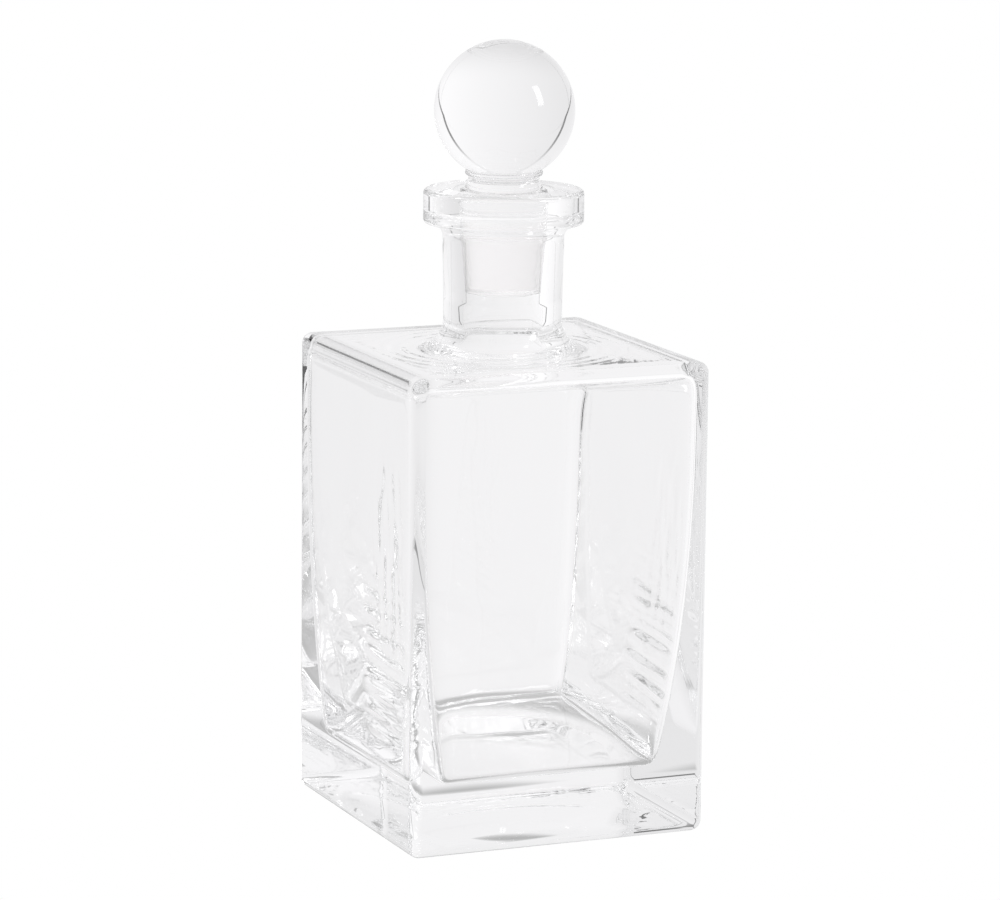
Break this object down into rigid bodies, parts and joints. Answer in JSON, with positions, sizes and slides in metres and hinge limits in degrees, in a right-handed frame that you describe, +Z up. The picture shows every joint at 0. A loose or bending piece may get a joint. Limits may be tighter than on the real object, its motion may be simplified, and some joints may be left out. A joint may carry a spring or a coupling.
{
  "type": "glass decanter",
  "caption": "Square clear-glass decanter with a thick foot and a lipped round neck, closed by a solid ball stopper in a translucent seal sleeve.",
  "frame": {"origin": "centre of the square base, on the surface the decanter stands on", "axes": "+Z up along the neck, front face towards -Y, side faces towards -X and +X"},
  "size_m": [0.1, 0.1, 0.2485],
  "materials": {
    "bottle_glass": "clear, polished, with a faintly wavy inner surface",
    "stopper_glass": "clear, polished, solid",
    "seal_plastic": "milky, translucent, satin"
  },
  "bodies": {
    "bottle": {"bottle": "bottle_glass"},
    "seal": {"seal_sleeve": "seal_plastic"},
    "stopper": {"stopper": "stopper_glass"}
  },
  "joints": [
    {"name": "stopper_lift", "type": "slide", "parent": "bottle", "child": "seal", "axis": [0, 0, 1], "range_m": [0, 0.06]},
    {"name": "stopper_twist", "type": "hinge", "parent": "seal", "child": "stopper", "pos_m": [0, 0, 0.18], "axis": [0, 0, 1], "continuous": true}
  ]
}
